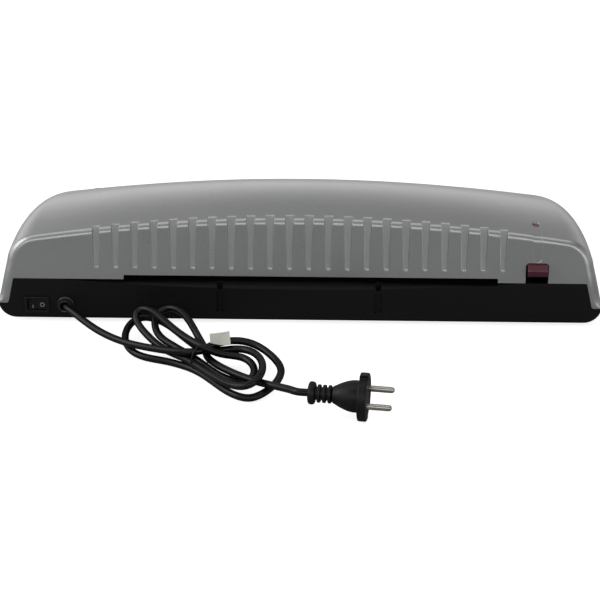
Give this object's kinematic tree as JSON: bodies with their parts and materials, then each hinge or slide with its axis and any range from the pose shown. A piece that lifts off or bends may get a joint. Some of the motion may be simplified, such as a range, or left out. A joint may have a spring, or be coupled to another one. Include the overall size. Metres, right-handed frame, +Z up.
{
  "type": "pouch laminator",
  "caption": "Wide pouch laminator with an arched silver cover, vent grooves, black base, rear pouch slot, release lever and coiled mains cord.",
  "frame": {"origin": "bottom centre of the whole bounding box, machine and cord together, on the table; the machine's own middle is 83.53 mm towards -Y from it", "axes": "+X towards the machine's power switch end, -Y the entry side, +Y the exit side where the cord lies, +Z up"},
  "size_m": [0.506, 0.335, 0.0983],
  "materials": {
    "silver_cover": "satin metallic-painted moulded plastic",
    "black_base": "fine spark-textured moulded plastic",
    "dark_plastic": "plain moulded plastic",
    "switch_plastic": "semi-gloss moulded plastic",
    "panel_plastic": "semi-gloss moulded plastic",
    "silver_button": "painted key",
    "cord_pvc": "smooth satin cable jacket",
    "plug_pvc": "satin overmoulded plug",
    "tie_wire": "plastic-coated wire",
    "tag_paper": "thin pale paper",
    "maroon_lever": "glossy moulded plastic",
    "red_lens": "clear tinted plastic",
    "green_lens": "clear tinted plastic",
    "plated_steel": "zinc plated",
    "nickel_pin": "nickel plated brass",
    "heater_aluminium": "mill finish",
    "silicone_roller": "smooth silicone",
    "white_nylon": "moulded nylon",
    "rubber_foot": "matt rubber",
    "circuit_board": "lacquered board"
  },
  "bodies": {
    "root": {"base_housing": "black_base", "bearing_block_front_left": "white_nylon", "bearing_block_front_right": "white_nylon", "bearing_block_rear_left": "white_nylon", "bearing_block_rear_right": "white_nylon", "circuit_board": "circuit_board", "control_panel": "panel_plastic", "cord_strain_relief": "switch_plastic", "entry_tray": "black_base", "exit_guide": "dark_plastic", "foot_front_left": "rubber_foot", "foot_front_right": "rubber_foot", "foot_rear_left": "rubber_foot", "foot_rear_right": "rubber_foot", "gear_motor": "plated_steel", "housing_screw_1": "plated_steel", "housing_screw_2": "plated_steel", "housing_screw_3": "plated_steel", "housing_screw_4": "plated_steel", "idler_pin": "plated_steel", "lever_pin": "plated_steel", "lower_heater_plate": "heater_aluminium", "motor_plate": "plated_steel", "plug_body": "plug_pvc", "plug_pin_1": "nickel_pin", "plug_pin_2": "nickel_pin", "power_cord": "cord_pvc", "power_lens": "red_lens", "power_switch_body": "switch_plastic", "ready_lens": "green_lens", "release_indicator": "red_lens", "side_frame_left": "plated_steel", "side_frame_right": "plated_steel", "thermal_fuse": "white_nylon", "thermostat": "dark_plastic", "tie_bar_front": "plated_steel", "tie_bar_rear": "plated_steel", "top_cover": "silver_cover", "twist_tie": "tie_wire", "twist_tie_tag": "tag_paper", "upper_heater_plate": "heater_aluminium"},
    "switch_rocker": {"power_rocker": "switch_plastic"},
    "lever": {"release_lever": "maroon_lever"},
    "link": {"release_link": "plated_steel"},
    "lower_front_roller": {"lower_front_roller_sleeve": "silicone_roller", "lower_front_roller_shaft": "plated_steel", "lower_front_roller_gear": "white_nylon"},
    "upper_front_roller": {"upper_front_roller_sleeve": "silicone_roller", "upper_front_roller_shaft": "plated_steel", "upper_front_roller_gear": "white_nylon"},
    "lower_rear_roller": {"lower_rear_roller_sleeve": "silicone_roller", "lower_rear_roller_shaft": "plated_steel", "lower_rear_roller_gear": "white_nylon"},
    "upper_rear_roller": {"upper_rear_roller_sleeve": "silicone_roller", "upper_rear_roller_shaft": "plated_steel", "upper_rear_roller_gear": "white_nylon"},
    "idler": {"idler_gear": "white_nylon"},
    "pinion": {"motor_pinion": "plated_steel"},
    "power_key": {"power_button": "silver_button"},
    "mode_key": {"mode_button": "silver_button"}
  },
  "joints": [
    {"name": "power_rocker_tilt", "type": "hinge", "parent": "root", "child": "switch_rocker", "pos_m": [0.22, -0.01453, 0.0157], "axis": [0, 0, -1], "range_deg": [0, 16]},
    {"name": "release_lever_turn", "type": "hinge", "parent": "root", "child": "lever", "pos_m": [-0.1971, -0.02753, 0.05], "axis": [1, 0, 0], "range_deg": [-14, 0]},
    {"name": "release_link_lift", "type": "slide", "parent": "root", "child": "link", "axis": [0, 0, 1], "range_m": [0, 0.0038]},
    {"name": "lower_rear_roller_spin", "type": "hinge", "parent": "root", "child": "lower_rear_roller", "pos_m": [0, -0.05073, 0.031], "axis": [1, 0, 0], "continuous": true},
    {"name": "upper_rear_roller_spin", "type": "hinge", "parent": "root", "child": "upper_rear_roller", "pos_m": [0, -0.05073, 0.047], "axis": [1, 0, 0], "continuous": true},
    {"name": "lower_front_roller_spin", "type": "hinge", "parent": "root", "child": "lower_front_roller", "pos_m": [0, -0.11173, 0.031], "axis": [1, 0, 0], "continuous": true},
    {"name": "upper_front_roller_spin", "type": "hinge", "parent": "root", "child": "upper_front_roller", "pos_m": [0, -0.11173, 0.047], "axis": [1, 0, 0], "continuous": true},
    {"name": "idler_gear_spin", "type": "hinge", "parent": "root", "child": "idler", "pos_m": [0, -0.08123, 0.031], "axis": [1, 0, 0], "continuous": true},
    {"name": "motor_pinion_spin", "type": "hinge", "parent": "root", "child": "pinion", "pos_m": [0, -0.08024, 0.05948], "axis": [1, 0, 0], "continuous": true},
    {"name": "power_button_press", "type": "slide", "parent": "root", "child": "power_key", "axis": [-0.0324, 0.8857, -0.4631], "range_m": [0, 0.001]},
    {"name": "mode_button_press", "type": "slide", "parent": "root", "child": "mode_key", "axis": [-0.0324, 0.8857, -0.4631], "range_m": [0, 0.001]}
  ],
  "couplings": [
    {"joint": "release_link_lift", "follows": "release_lever_turn", "m_per_rad": -0.015},
    {"joint": "upper_rear_roller_spin", "follows": "lower_rear_roller_spin", "ratio": -1},
    {"joint": "lower_front_roller_spin", "follows": "lower_rear_roller_spin", "ratio": 1},
    {"joint": "upper_front_roller_spin", "follows": "lower_rear_roller_spin", "ratio": -1},
    {"joint": "idler_gear_spin", "follows": "lower_rear_roller_spin", "ratio": -0.35556},
    {"joint": "motor_pinion_spin", "follows": "lower_rear_roller_spin", "ratio": 1.3333}
  ]
}
